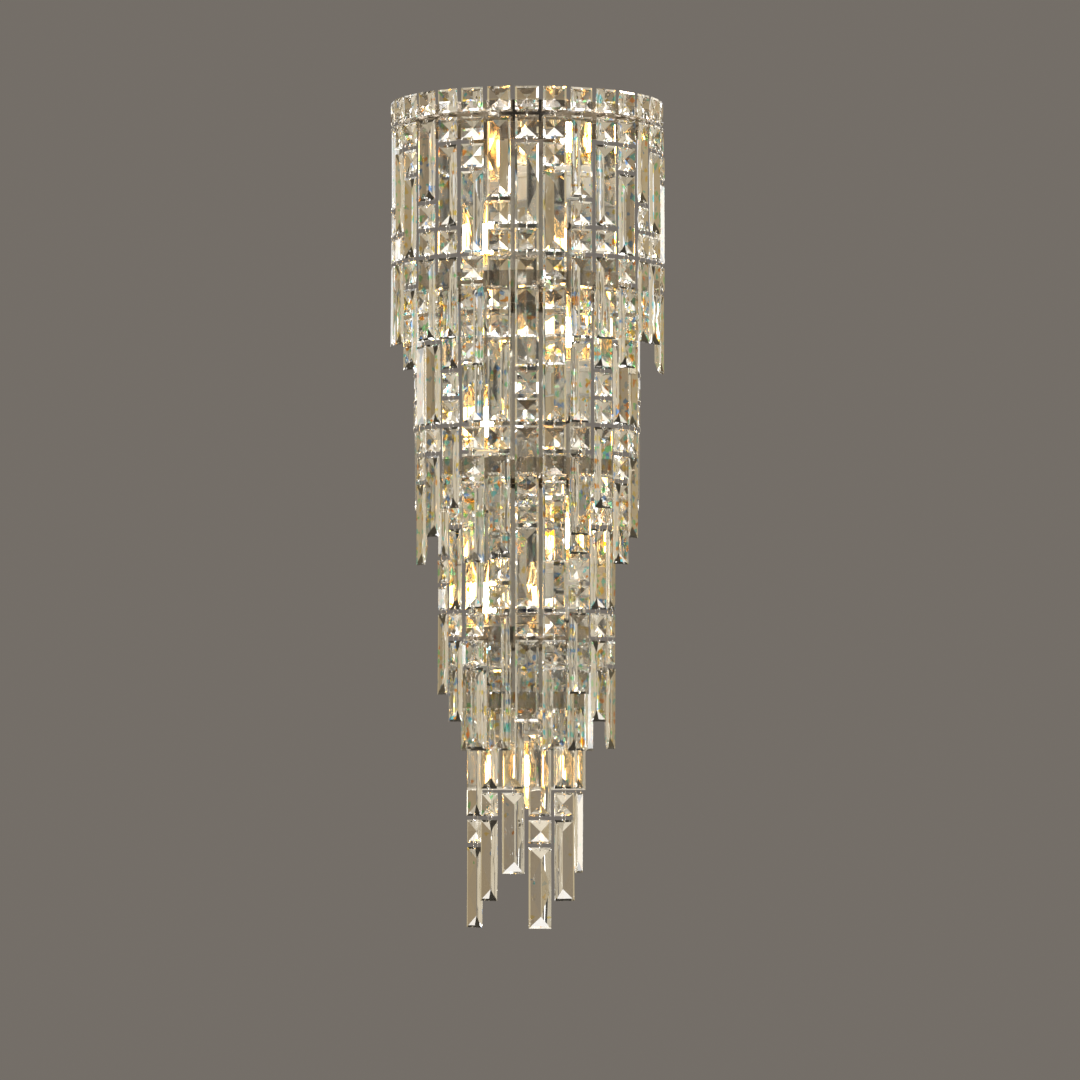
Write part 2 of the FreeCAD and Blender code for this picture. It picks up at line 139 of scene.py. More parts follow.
# Worked out from the frame.
HOOP_HEIGHT = {tier: middle_height("hoop_%d" % tier) for tier in TIERS}
TIER_RADIUS = {tier: half_width("hoop_%d" % tier) + BAND_BEHIND_FACE for tier in TIERS}
HOOP_CENTRE_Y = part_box("hoop_1")[0].y + TIER_RADIUS[1] - BAND_BEHIND_FACE
COLUMN_PITCH = CRYSTAL_WIDTH + COLUMN_GAP


# ---------------------------------------------------------------- modelling


def start(name):
    """Name the new primitive and go into edit mode on it."""
    piece = bpy.context.object
    piece.name = name
    piece.data.name = name
    bpy.ops.object.mode_set(mode="EDIT")
    return piece


def done():
    """Leave edit mode."""
    bpy.ops.object.mode_set(mode="OBJECT")


def deselect():
    """Select nothing at all."""
    bpy.ops.object.select_all(action="DESELECT")


def select_only(*pieces):
    """Select these pieces and make the first one active."""
    deselect()
    for piece in pieces:
        piece.select_set(True)
    bpy.context.view_layer.objects.active = pieces[0]


def select_faces(piece, wanted):
    """In edit mode, select just the faces that the test accepts by centre and normal."""
    bpy.ops.mesh.select_all(action="DESELECT")
    bpy.ops.object.mode_set(mode="OBJECT")
    for face in piece.data.polygons:
        face.select = wanted(face.center, face.normal)
    bpy.ops.object.mode_set(mode="EDIT")


def select_edges(piece, wanted):
    """In edit mode, select just the edges that the test accepts by their two ends."""
    bpy.ops.mesh.select_all(action="DESELECT")
    bpy.ops.object.mode_set(mode="OBJECT")
    for edge in piece.data.edges:
        first, second = (piece.data.vertices[index].co for index in edge.vertices)
        edge.select = wanted(first, second)
    bpy.ops.object.mode_set(mode="EDIT")


def select_corners(piece, wanted):
    """In edit mode, select just the points that the test accepts by their place."""
    bpy.ops.mesh.select_all(action="DESELECT")
    bpy.ops.object.mode_set(mode="OBJECT")
    for corner in piece.data.vertices:
        corner.select = wanted(corner.co)
    bpy.ops.object.mode_set(mode="EDIT")


def centred(piece):
    """Put a finished piece's place into its mesh."""
    select_only(piece)
    bpy.ops.object.transform_apply(location=True, rotation=True, scale=True)


def cut(piece, tool):
    """Cut a tool piece out of another and delete the tool."""
    select_only(piece)
    modifier = piece.modifiers.new("cut", "BOOLEAN")
    modifier.operation = "DIFFERENCE"
    modifier.solver = "EXACT"
    modifier.object = tool
    bpy.ops.object.modifier_apply(modifier=modifier.name)
    bpy.data.objects.remove(tool)


def copied(prototype, place):
    """A copy of a prototype with its own mesh, moved by a matrix."""
    piece = prototype.copy()
    piece.data = prototype.data.copy()
    piece.data.transform(place)
    bpy.context.scene.collection.objects.link(piece)
    return piece


def joined(name, pieces):
    """One piece from several."""
    select_only(*pieces)
    bpy.ops.object.join()
    whole = bpy.context.object
    whole.name = name
    whole.data.name = name
    return whole


def turned(name, outline, sides, smooth_angle):
    """A turned piece, up the Z axis, through (radius, height) points; zero radius closes an end."""
    deselect()
    radius, height = outline[0]
    begin = (0, 0, height)
    bpy.ops.mesh.primitive_circle_add(vertices=sides, radius=radius, location=begin)
    piece = start(name)
    bpy.ops.mesh.select_all(action="SELECT")
    for next_radius, next_height in outline[1:]:
        rise = (0, 0, next_height - height)
        bpy.ops.mesh.extrude_region_move(TRANSFORM_OT_translate={"value": rise})
        if next_radius == 0:
            bpy.ops.mesh.merge(type="CENTER")
            break
        share = next_radius / radius
        centre = (0, 0, next_height)
        bpy.ops.transform.resize(value=(share, share, 1), center_override=centre)
        radius, height = next_radius, next_height
    bpy.ops.mesh.select_all(action="SELECT")
    bpy.ops.mesh.fill_holes(sides=0)
    bpy.ops.mesh.select_all(action="SELECT")
    bpy.ops.mesh.normals_make_consistent(inside=False)
    done()
    centred(piece)
    bpy.ops.object.shade_smooth_by_angle(angle=math.radians(smooth_angle))
    return piece


# ---------------------------------------------------------------- crystals


def is_at_table_side(place):
    """Whether a point is on the front rim, at the left or right side of a crystal."""
    return abs(place.x) > CRYSTAL_WIDTH / 2 - NEAR and place.y < NEAR


def is_between_corners(place, height):
    """Whether a point is the middle of one of the four sides of the crystal's back rim."""
    return place.y > GIRDLE - NEAR and (abs(place.x) < NEAR or abs(place.z + height / 2) < NEAR)


def cut_crystal(name, height, drilled):
    """One cut crystal that hangs from Z = 0: bevelled table, faceted back and drilled ends."""
    deselect()
    centre = (0, GIRDLE / 2, -height / 2)
    size = (CRYSTAL_WIDTH, GIRDLE, height)
    bpy.ops.mesh.primitive_cube_add(size=1, location=centre, scale=size)
    piece = start(name)
    done()
    centred(piece)
    bpy.ops.object.mode_set(mode="EDIT")
    select_faces(piece, lambda centre, normal: normal.y < -SQUARE_ON)
    bpy.ops.mesh.inset(thickness=TABLE_BEVEL, depth=0)
    select_corners(piece, is_at_table_side)
    bpy.ops.transform.translate(value=(0, TABLE_RISE, 0))
    select_edges(piece, lambda first, second: min(first.y, second.y) > GIRDLE - NEAR)
    bpy.ops.mesh.subdivide(number_cuts=1)
    select_corners(piece, lambda place: is_between_corners(place, height))
    bpy.ops.transform.translate(value=(0, RIM_WAVE, 0))
    select_faces(piece, lambda centre, normal: normal.y > SQUARE_ON)
    bpy.ops.mesh.extrude_region_move(TRANSFORM_OT_translate={"value": (0, APEX - GIRDLE, 0)})
    ridge = (RIDGE_THINNING, 0, max(height - CRYSTAL_WIDTH, SHORTEST_RIDGE) / height)
    bpy.ops.transform.resize(value=ridge, center_override=(0, APEX, -height / 2))
    bpy.ops.mesh.select_all(action="SELECT")
    bpy.ops.mesh.remove_doubles(threshold=WELD)
    select_faces(piece, lambda centre, normal: centre.y > GIRDLE + RIM_WAVE)
    bpy.ops.mesh.quads_convert_to_tris(quad_method="BEAUTY", ngon_method="BEAUTY")
    bpy.ops.mesh.select_all(action="SELECT")
    bpy.ops.mesh.normals_make_consistent(inside=False)
    done()
    for drill_height in drilled:
        deselect()
        bpy.ops.mesh.primitive_cylinder_add(
            vertices=HOLE_SIDES,
            radius=HOLE_RADIUS,
            depth=DRILL_LENGTH,
            location=(0, 0, drill_height),
            rotation=(math.pi / 2, 0, 0),
        )
        cut(piece, bpy.context.object)
    return piece


def wire_ring(name, low, high, top_share=1.0):
    """A closed wire ring, square to the crystals' faces, narrower at the top if asked."""
    deselect()
    centre = (0, (RING_FRONT + RING_BACK) / 2, (low + high) / 2)
    bpy.ops.mesh.primitive_torus_add(
        major_segments=RING_STEPS,
        minor_segments=RING_SIDES,
        major_radius=(high - low) / 2,
        minor_radius=RING_WIRE,
        location=centre,
        rotation=(0, math.pi / 2, 0),
    )
    piece = start(name)
    narrow = (RING_BACK - RING_FRONT) / (high - low)
    bpy.ops.transform.resize(value=(1, narrow, 1), center_override=centre)
    done()
    centred(piece)
    if top_share < 1.0:
        bpy.ops.object.mode_set(mode="EDIT")
        top = centre[2] + TOP_RING_FROM * (high - centre[2])
        select_corners(piece, lambda place: place.z > top)
        hook = (0, HANG_DEPTH, high)
        bpy.ops.transform.resize(value=(1, top_share, 1), center_override=hook)
        done()
    select_only(piece)
    bpy.ops.object.shade_smooth()
    return piece


def columns(tier):
    """Column numbers of a tier; the last tier has its columns either side of the middle."""
    shift = 0.5 if tier == TIERS[-1] else 0.0
    half_curve = math.pi / 2 * TIER_RADIUS[tier] + COLUMN_OVERRUN - CRYSTAL_WIDTH / 2
    last = math.floor(half_curve / COLUMN_PITCH - shift)
    first = -last - (1 if shift else 0)
    return [number + shift for number in range(first, last + 1)]


def strand_kind(tier, column):
    """The crystals of one strand, from the top down: S is a square and P a prism."""
    kinds = TIER_STRANDS[tier]
    return kinds[math.floor(column) % len(kinds)]


def turned_about_hook(degrees, tilt=0.0):
    """A turn about the line that a strand hangs on, after a slight tilt."""
    line = Matrix.Translation((0, HANG_DEPTH, 0))
    turn = Matrix.Rotation(math.radians(degrees), 4, "Z")
    return line @ turn @ Matrix.Rotation(math.radians(tilt), 4, "X") @ line.inverted()


def twisted(tier, number):
    """How far round a whole strand hangs on its hook."""
    degrees = HAND.uniform(-TWIST[tier], TWIST[tier])
    return turned_about_hook(TWISTED_STRANDS.get((tier, number), degrees))


def askew():
    """The small turn and tilt that one crystal takes on its rings."""
    return turned_about_hook(HAND.uniform(-ASKEW, ASKEW), HAND.uniform(-TILT, TILT))


def on_hoop(tier, column, height):
    """The place of a crystal's top edge, on a column of a tier."""
    angle = column * COLUMN_PITCH / TIER_RADIUS[tier]
    turn = Matrix.Rotation(angle, 4, "Z")
    face = Matrix.Translation((0, -TIER_RADIUS[tier], 0))
    return Matrix.Translation((0, HOOP_CENTRE_Y, height)) @ turn @ face


class Crystals:
    """The prototypes: two crystals, and the rings between crystals and at the hooks."""

    def __init__(self):
        self.heights = {"S": CRYSTAL_WIDTH, "P": PRISM_LENGTH}
        self.kinds = {}
        self.lowest = {}
        for letter, height in self.heights.items():
            ends = [-HOLE_FROM_EDGE, HOLE_FROM_EDGE - height]
            self.kinds[letter] = cut_crystal("drilled_" + letter, height, ends)
            self.lowest[letter] = cut_crystal("lowest_" + letter, height, ends[:1])
        reach = HOLE_FROM_EDGE
        self.ring = wire_ring("ring", -LINK_GAP - reach, reach)
        hook_drop = STRAND_DROP - HOOK_BELOW
        self.top_ring = wire_ring("top_ring", -reach, hook_drop - TOP_RING_BELOW, TOP_RING_SHARE)

    def strand(self, tier, number, column):
        """Crystals and rings of one strand."""
        glass = []
        rings = []
        twist = twisted(tier, number)
        level = HOOP_HEIGHT[tier] - STRAND_DROP
        rings.append(copied(self.top_ring, on_hoop(tier, column, level) @ twist))
        letters = strand_kind(tier, column)
        for place, letter in enumerate(letters, start=1):
            if place > 1:
                rings.append(copied(self.ring, on_hoop(tier, column, level) @ twist))
                level -= LINK_GAP
            kinds = self.lowest if place == len(letters) else self.kinds
            hangs = on_hoop(tier, column, level) @ twist @ askew()
            glass.append(copied(kinds[letter], hangs))
            level -= self.heights[letter]
        return glass, rings

    def crown(self, column):
        """One square of the crown."""
        stands = on_hoop(1, column, HOOP_HEIGHT[1] + CRYSTAL_WIDTH)
        turn = Matrix.Rotation(math.radians(HAND.uniform(-CROWN_TURN, CROWN_TURN)), 4, "Z")
        return copied(self.lowest["S"], stands @ turn)

    def clear(self):
        """Delete the prototypes."""
        for piece in [*self.kinds.values(), *self.lowest.values(), self.ring, self.top_ring]:
            bpy.data.objects.remove(piece)


# ---------------------------------------------------------------- node helpers


def set_inputs(node, values):
    """Put constants on a node's inputs."""
    for socket, value in values.items():
        node.inputs[socket.replace("_", " ")].default_value = value


def new_material(name, **values):
    """A material whose Principled sockets hold the given constants."""
    material = bpy.data.materials.new(name)
    material.use_nodes = True
    shader = material.node_tree.nodes["Principled BSDF"]
    set_inputs(shader, values)
    return material, material.node_tree, shader


def add(tree, kind, **values):
    """A node with values on its inputs."""
    node = tree.nodes.new(kind)
    set_inputs(node, values)
    return node


def place_group(tree, group, **values):
    """A node group placed in a material with its own values."""
    node = tree.nodes.new("ShaderNodeGroup")
    node.node_tree = group
    set_inputs(node, values)
    return node


def new_group(name, inputs, outputs):
    """An empty shader node group with named sockets."""
    group = bpy.data.node_groups.new(name, "ShaderNodeTree")
    for label, kind, value in inputs:
        socket = group.interface.new_socket(label, in_out="INPUT", socket_type=kind)
        socket.default_value = value
    for label, kind in outputs:
        group.interface.new_socket(label, in_out="OUTPUT", socket_type=kind)
    return group, group.nodes.new("NodeGroupInput"), group.nodes.new("NodeGroupOutput")


def maths(tree, operation, first, second):
    """The result of a sum on two outputs."""
    node = tree.nodes.new("ShaderNodeMath")
    node.operation = operation
    tree.links.new(first, node.inputs[0])
    tree.links.new(second, node.inputs[1])
    return node.outputs[0]


def colour_ramp(tree, tones):
    """A colour ramp through (place, colour) tones, given in order."""
    ramp = tree.nodes.new("ShaderNodeValToRGB")
    stops = ramp.color_ramp.elements
    for stop, (place, tone) in zip([stops[0], stops[1]], [tones[0], tones[-1]]):
        stop.position = place
        stop.color = (*tone, 1)
    for place, tone in tones[1:-1]:
        stop = stops.new(place)
        stop.color = (*tone, 1)
    return ramp


def mottled(tree, scale, first, second):
    """A colour that wanders between two tones over a piece."""
    where = tree.nodes.new("ShaderNodeTexCoord")
    noise = add(tree, "ShaderNodeTexNoise", Scale=scale)
    ramp = colour_ramp(tree, [(0.0, first), (1.0, second)])
    tree.links.new(where.outputs["Object"], noise.inputs["Vector"])
    tree.links.new(noise.outputs["Fac"], ramp.inputs["Fac"])
    return ramp.outputs["Color"]


# ---------------------------------------------------------------- materials

WHITE = (1.0, 1.0, 1.0)
BLACK = (0.0, 0.0, 0.0)

CRYSTAL_IOR = 1.62
# Painted fire: rainbow glints painted into the crystals' base colour, by facing angle from inside
# and by random cells, standing in for the light's dispersion.
PAINTED_SPARK_SCALE = 200.0
PAINTED_SPARK_SHARE = 0.24
LOW_PAINTED_SPARK_SHARE = 0.04
CLEAR = (0.985, 0.985, 0.98)
RAINBOW = [
    (1.0, 0.16, 0.0),
    (1.0, 0.60, 0.02),
    (1.0, 0.74, 0.10),
    (0.12, 0.90, 0.22),
    (0.05, 0.74, 1.0),
    (0.04, 0.20, 1.0),
    (0.36, 0.62, 1.0),
]
PAINTED_FIRE_ANGLES = [
    (0.0, WHITE),
    (0.062, WHITE),
    (0.070, BLACK),
    (0.190, BLACK),
    (0.198, WHITE),
    (1.0, WHITE),
]

CLOUD_SCALE = 18.0
CLOUD_SHADE = 0.82
GRAIN_DEPTH = 0.4 * MM

BULB_TINT = (1.0, 0.84, 0.56)
BULB_IOR = 1.45
GLOW_STRENGTH = 600.0
GLOW_SCALE = 60.0
GLOW_TONES = ((1.0, 0.52, 0.14), (1.0, 0.74, 0.36))


def painted_fire_group():
    """Painted fire: small glints of pure spectral colour painted into the glass's base colour, on
    facets that light leaves after turning inside, standing in for dispersion.
    """
    group, inner, outer = new_group(
        "painted_crystal_fire",
        [
            ("Facing", "NodeSocketFloat", 0.0),
            ("Inside", "NodeSocketFloat", 1.0),
            ("Scale", "NodeSocketFloat", PAINTED_SPARK_SCALE),
            ("Share", "NodeSocketFloat", PAINTED_SPARK_SHARE),
        ],
        [("Color", "NodeSocketColor")],
    )
    links = group.links
    where = group.nodes.new("ShaderNodeTexCoord")
    cells = group.nodes.new("ShaderNodeTexVoronoi")
    cells.distance = "MANHATTAN"
    links.new(where.outputs["Object"], cells.inputs["Vector"])
    links.new(inner.outputs["Scale"], cells.inputs["Scale"])
    chances = group.nodes.new("ShaderNodeSeparateColor")
    links.new(cells.outputs["Color"], chances.inputs["Color"])
    hue = colour_ramp(group, [(step / len(RAINBOW), tone) for step, tone in enumerate(RAINBOW)])
    hue.color_ramp.interpolation = "CONSTANT"
    links.new(chances.outputs["Red"], hue.inputs["Fac"])
    lit = maths(group, "LESS_THAN", chances.outputs["Green"], inner.outputs["Share"])
    angles = colour_ramp(group, PAINTED_FIRE_ANGLES)
    links.new(inner.outputs["Facing"], angles.inputs["Fac"])
    turned_light = maths(group, "MULTIPLY", angles.outputs["Color"], inner.outputs["Inside"])
    painted_spark = maths(group, "MULTIPLY", turned_light, lit)
    mix = group.nodes.new("ShaderNodeMix")
    mix.data_type = "RGBA"
    plain, pure = [socket for socket in mix.inputs if socket.type == "RGBA"]
    plain.default_value = (*CLEAR, 1)
    links.new(painted_spark, mix.inputs["Factor"])
    links.new(hue.outputs["Color"], pure)
    result = [socket for socket in mix.outputs if socket.type == "RGBA"][0]
    links.new(result, outer.inputs["Color"])
    return group


def wear_group():
    """Fine polishing marks and faint cloudy patches."""
    group, inner, outer = new_group(
        "polish_wear",
        [
            ("Base", "NodeSocketColor", (0.8, 0.8, 0.8, 1)),
            ("Roughness", "NodeSocketFloat", 0.08),
            ("Cloud", "NodeSocketFloat", 0.1),
            ("Grain Scale", "NodeSocketFloat", 400.0),
            ("Bump", "NodeSocketFloat", 0.02),
        ],
        [
            ("Color", "NodeSocketColor"),
            ("Roughness", "NodeSocketFloat"),
            ("Normal", "NodeSocketVector"),
        ],
    )
    links = group.links
    where = group.nodes.new("ShaderNodeTexCoord")
    cloud = add(group, "ShaderNodeTexNoise", Scale=CLOUD_SCALE, Detail=4.0)
    links.new(where.outputs["Object"], cloud.inputs["Vector"])
    grain = add(group, "ShaderNodeTexNoise", Detail=3.0)
    links.new(where.outputs["Object"], grain.inputs["Vector"])
    links.new(inner.outputs["Grain Scale"], grain.inputs["Scale"])
    spread = maths(group, "MULTIPLY", cloud.outputs["Fac"], inner.outputs["Cloud"])
    total = maths(group, "ADD", spread, inner.outputs["Roughness"])
    links.new(total, outer.inputs["Roughness"])
    shade = add(group, "ShaderNodeMapRange", To_Min=CLOUD_SHADE, To_Max=1.0)
    links.new(cloud.outputs["Fac"], shade.inputs["Value"])
    scale = group.nodes.new("ShaderNodeVectorMath")
    scale.operation = "SCALE"
    links.new(inner.outputs["Base"], scale.inputs[0])
    links.new(shade.outputs["Result"], scale.inputs["Scale"])
    links.new(scale.outputs["Vector"], outer.inputs["Color"])
    bump = add(group, "ShaderNodeBump", Distance=GRAIN_DEPTH)
    links.new(inner.outputs["Bump"], bump.inputs["Strength"])
    links.new(grain.outputs["Fac"], bump.inputs["Height"])
    links.new(bump.outputs["Normal"], outer.inputs["Normal"])
    return group


PAINTED_FIRE = painted_fire_group()
WEAR = wear_group()


def crystal_material(name, painted_spark_share):
    """Clear, dense cut crystal, with painted glints of pure colour in its base colour where light
    turns inside it.
    """
    material, tree, shader = new_material(
        name, Roughness=0.0, IOR=CRYSTAL_IOR, Transmission_Weight=1.0
    )
    facing = add(tree, "ShaderNodeLayerWeight", Blend=0.5)
    side = tree.nodes.new("ShaderNodeNewGeometry")
    fire = place_group(tree, PAINTED_FIRE, Scale=PAINTED_SPARK_SCALE, Share=painted_spark_share)
    tree.links.new(facing.outputs["Facing"], fire.inputs["Facing"])
    tree.links.new(side.outputs["Backfacing"], fire.inputs["Inside"])
    # The painted rainbow glints go into the glass's base colour.
    tree.links.new(fire.outputs["Color"], shader.inputs["Base Color"])
    return material


def worn(name, metallic, base, roughness, cloud, grain_scale, bump):
    """A finish with its own wear: metal at 1, plastic or rubber at 0."""
    material, tree, shader = new_material(name, Metallic=metallic)
    wear = place_group(
        tree,
        WEAR,
        Base=(*base, 1),
        Roughness=roughness,
        Cloud=cloud,
        Grain_Scale=grain_scale,
        Bump=bump,
    )
    tree.links.new(wear.outputs["Color"], shader.inputs["Base Color"])
    tree.links.new(wear.outputs["Roughness"], shader.inputs["Roughness"])
    tree.links.new(wear.outputs["Normal"], shader.inputs["Normal"])
    return material


def bulb_glass_material():
    """Amber-tinted bulb glass."""
    material, tree, shader = new_material(
        "bulb_glass", Roughness=0.0, IOR=BULB_IOR, Transmission_Weight=1.0
    )
    tint = place_group(tree, WEAR, Base=(*BULB_TINT, 1), Roughness=0.0, Cloud=0.01)
    tree.links.new(tint.outputs["Color"], shader.inputs["Base Color"])
    return material


def glow_material():
    """The glowing filaments of a candle lamp."""
    material, tree, shader = new_material(
        "lamp_glow", Roughness=0.6, Emission_Strength=GLOW_STRENGTH
    )
    glow = mottled(tree, GLOW_SCALE, *GLOW_TONES)
    tree.links.new(glow, shader.inputs["Emission Color"])
    tree.links.new(glow, shader.inputs["Base Color"])
    return material


# Both crystal materials carry painted rainbow glints; the lowest tier has fewer.
CRYSTAL = crystal_material("cut_crystal", PAINTED_SPARK_SHARE)
LOW_CRYSTAL = crystal_material("low_crystal", LOW_PAINTED_SPARK_SHARE)
MIRROR = worn("mirror_steel", 1.0, (0.80, 0.79, 0.77), 0.03, 0.06, 250.0, 0.02)
# Dark metal colour of the bands: partly a smoked finish, partly painted shade standing in for the
# dark room and shadow that they reflect.
BAND = worn("smoked_and_shaded_band", 1.0, (0.36, 0.31, 0.26), 0.10, 0.12, 300.0, 0.04)
CHROME = worn("bright_chrome", 1.0, (0.86, 0.86, 0.86), 0.06, 0.08, 500.0, 0.03)
ZINC = worn("zinc_steel", 1.0, (0.60, 0.61, 0.62), 0.32, 0.2, 220.0, 0.15)
BRASS = worn("brass", 1.0, (0.78, 0.58, 0.26), 0.25, 0.2, 300.0, 0.1)
HOLDER = worn("cream_moulding", 0.0, (0.80, 0.77, 0.70), 0.35, 0.2, 600.0, 0.08)
SLEEVE = worn("wire_sleeve", 0.0, (0.72, 0.71, 0.68), 0.55, 0.2, 900.0, 0.3)
RUBBER = worn("grommet_rubber", 0.0, (0.03, 0.03, 0.03), 0.6, 0.2, 700.0, 0.2)
TERMINAL = worn("terminal_white", 0.0, (0.82, 0.82, 0.79), 0.4, 0.15, 500.0, 0.1)
BULB_GLASS = bulb_glass_material()
GLOW = glow_material()


def dress(piece, material):
    """Give a piece one material."""
    piece.data.materials.clear()
    piece.data.materials.append(material)


# ---------------------------------------------------------------- strands


def hang_strands():
    """Every strand and the crown, each riding on its own body."""
    crystals = Crystals()
    for tier in TIERS:
        tier_glass = []
        tier_rings = []
        for number, column in enumerate(columns(tier), start=1):
            glass, rings = crystals.strand(tier, number, column)
            if tier in WHOLE_TIERS:
                tier_glass += glass
                tier_rings += rings
            else:
                name = "strand_%d_%02d" % (tier, number)
                finish_strand(name, name, glass, rings)
        if tier in WHOLE_TIERS:
            finish_strand("sconce", "tier_%d_strands" % tier, tier_glass, tier_rings)
    crown = joined("crown_squares", [crystals.crown(column) for column in columns(1)])
    dress(crown, CRYSTAL)
    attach(crown, "sconce")
    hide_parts("crown_crystals")
    crystals.clear()


def finish_strand(body, node, glass, rings):
    """Join one strand's crystals and its rings, and tie both to the strand's body."""
    crystals = joined(node + "_glass", glass)
    dress(crystals, LOW_CRYSTAL if node.startswith("strand_5") else CRYSTAL)
    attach(crystals, body)
    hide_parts(node)
    wires = joined(node + "_rings", rings)
    dress(wires, CHROME)
    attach(wires, body)


# ---------------------------------------------------------------- lamps

# Sorting the points of the bulbs' solids: how far apart the points of one lamp lie, sideways
# and upwards, how thick its lowest ring is, and the radius that tells a foot from a tip.
LAMP_REACH = 36 * MM
LAMP_STEP = 35 * MM
END_RING = 0.5 * MM
TIP_RADIUS = 6 * MM

# Outlines as (radius, height), with the end of the glass at height zero and its tip above.
ENVELOPE_OUTLINE = [
    (0.0100, 0.0),
    (0.0122, 0.002),
    (0.0150, 0.009),
    (0.0168, 0.017),
    (0.0175, 0.026),
    (0.0172, 0.034),
    (0.0158, 0.043),
    (0.0132, 0.051),
    (0.0098, 0.058),
    (0.0062, 0.065),
    (0.0034, 0.070),
    (0.0018, 0.0725),
    (0, 0.0730),
]
STEM_OUTLINE = [
    (0.0052, 0.0005),
    (0.0034, 0.006),
    (0.0015, 0.010),
    (0.0012, 0.046),
    (0, 0.048),
]
STICK_OUTLINE = [(0.0010, 0.0), (0.0013, 0.001), (0.0013, 0.031), (0, 0.032)]
STICK_PLACE = (0.0036, 0, 0.014)
STICKS = 4
BORE = 0.0074
HOLDER_OUTLINE = [
    (BORE, -0.0370),
    (BORE, -0.0026),
    (BORE, -0.0020),
    (0.0118, -0.0020),
    (0.0130, -0.0026),
    (0.0135, -0.0036),
    (0.0135, -0.0094),
    (0.0149, -0.0100),
    (0.0155, -0.0108),
    (0.0155, -0.0142),
    (0.0149, -0.0150),
    (0.0135, -0.0156),
    (0.0135, -0.0384),
    (0.0129, -0.0400),
    (BORE, -0.0400),
]
CAP_NECK = (0.0068, 0.0)
CAP_FOOT = [(0.0068, -0.0215), (0.0040, -0.0236), (0.0030, -0.0240)]
THREAD_CREST = 0.0070
THREAD_ROOT = 0.0063
THREAD_TOP = -0.0016
THREAD_PITCH = 0.0028
THREAD_TURNS = 7


def cap_outline():
    """The outline of a bulb's cap, with its thread."""
    outline = [CAP_NECK]
    for turn in range(THREAD_TURNS):
        crest = THREAD_TOP - turn * THREAD_PITCH
        outline += [(THREAD_CREST, crest), (THREAD_ROOT, crest - THREAD_PITCH / 2)]
    return outline + CAP_FOOT


def filaments():
    """The four glowing sticks of one lamp."""
    stick = turned("stick", STICK_OUTLINE, 8, 60)
    stick.data.transform(Matrix.Translation(STICK_PLACE))
    turns = [Matrix.Rotation(number * math.tau / STICKS, 4, "Z") for number in range(STICKS)]
    whole = joined("glow", [copied(stick, turn) for turn in turns])
    bpy.data.objects.remove(stick)
    return whole


def lamp_axes():
    """Axis, glass end and direction of every lamp, read from the bulbs' own solids."""
    points = [vertex.co.copy() for vertex in NODES["bulbs"].data.vertices]
    lamps = []
    for point in sorted(points, key=lambda p: p.z):
        for lamp in lamps:
            sideways = (point.xy - lamp[0].xy).length
            if sideways < LAMP_REACH and abs(point.z - lamp[-1].z) < LAMP_STEP:
                lamp.append(point)
                break
        else:
            lamps.append([point])
    axes = []
    for lamp in lamps:
        low = min(p.z for p in lamp)
        high = max(p.z for p in lamp)
        x = (min(p.x for p in lamp) + max(p.x for p in lamp)) / 2
        y = (min(p.y for p in lamp) + max(p.y for p in lamp)) / 2
        radius = max((p.xy - Vector((x, y))).length for p in lamp if p.z < low + END_RING)
        stands = radius > TIP_RADIUS
        axes.append((x, y, low if stands else high, stands))
    return axes


def lamp_place(x, y, height, stands):
    """Place of a piece that is drawn upright with the end of the glass at the origin."""
    move = Matrix.Translation((x, y, height))
    return move if stands else move @ Matrix.Rotation(math.pi, 4, "X")


def light_lamps():
    """The candle bulbs with their glow, caps and holders."""
    rows = [
        (
            "bulb_envelopes",
            turned("envelope", ENVELOPE_OUTLINE, 32, 80),
            BULB_GLASS,
            "bulbs",
            "bulb_glass",
        ),
        ("bulb_filaments", filaments(), GLOW, None, "bulb_glass"),
        ("bulb_stems", turned("stem", STEM_OUTLINE, 12, 60), BULB_GLASS, None, "bulb_glass"),
        ("threaded_caps", turned("cap", cap_outline(), 24, 60), CHROME, "bulb_caps", "bulb_cap"),
        (
            "ringed_holders",
            turned("holder", HOLDER_OUTLINE, 32, 35),
            HOLDER,
            "lampholders",
            "lampholder",
        ),
    ]
    places = [lamp_place(*axis) for axis in lamp_axes()]
    for name, prototype, material, node, slot in rows:
        whole = joined(name, [copied(prototype, place) for place in places])
        bpy.data.objects.remove(prototype)
        dress(whole, material)
        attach(whole, "sconce")
        if node:
            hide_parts(node)


# ---------------------------------------------------------------- steelwork and wiring

# Finishes by the start of a node's name. The longest start that fits counts.
CAD_FINISHES = {
    "backplate": MIRROR,
    "hoop_": BAND,
    "crossbar_": BAND,
    "crossbar_screws": CHROME,
    "side_nuts": CHROME,
    "cap_nuts": CHROME,
    "arm_screws": CHROME,
    "crown_pins": CHROME,
    "strand_hooks": CHROME,
    "lamp_arms": ZINC,
    "wall_bracket": ZINC,
    "bracket_studs": ZINC,
    "earth_screw": BRASS,
    "terminal_block": TERMINAL,
    "wiring_trunks": SLEEVE,
    "lamp_leads": SLEEVE,
    "lead_grommets": RUBBER,
}


def dress_frame():
    """Finishes of the steelwork and wiring that stay as they are."""
    for name, node in NODES.items():
        for key in sorted(CAD_FINISHES, key=len):
            if name.startswith(key):
                dress(node, CAD_FINISHES[key])


hang_strands()
light_lamps()
dress_frame()


# ---------------------------------------------------------------- stage

FLOOR_HEIGHT = -3.0
FLOOR_SIZE = 60
FLOOR_SCALE = 3.0
FLOOR_TONES = ((0.78, 0.77, 0.75), (0.82, 0.81, 0.79))

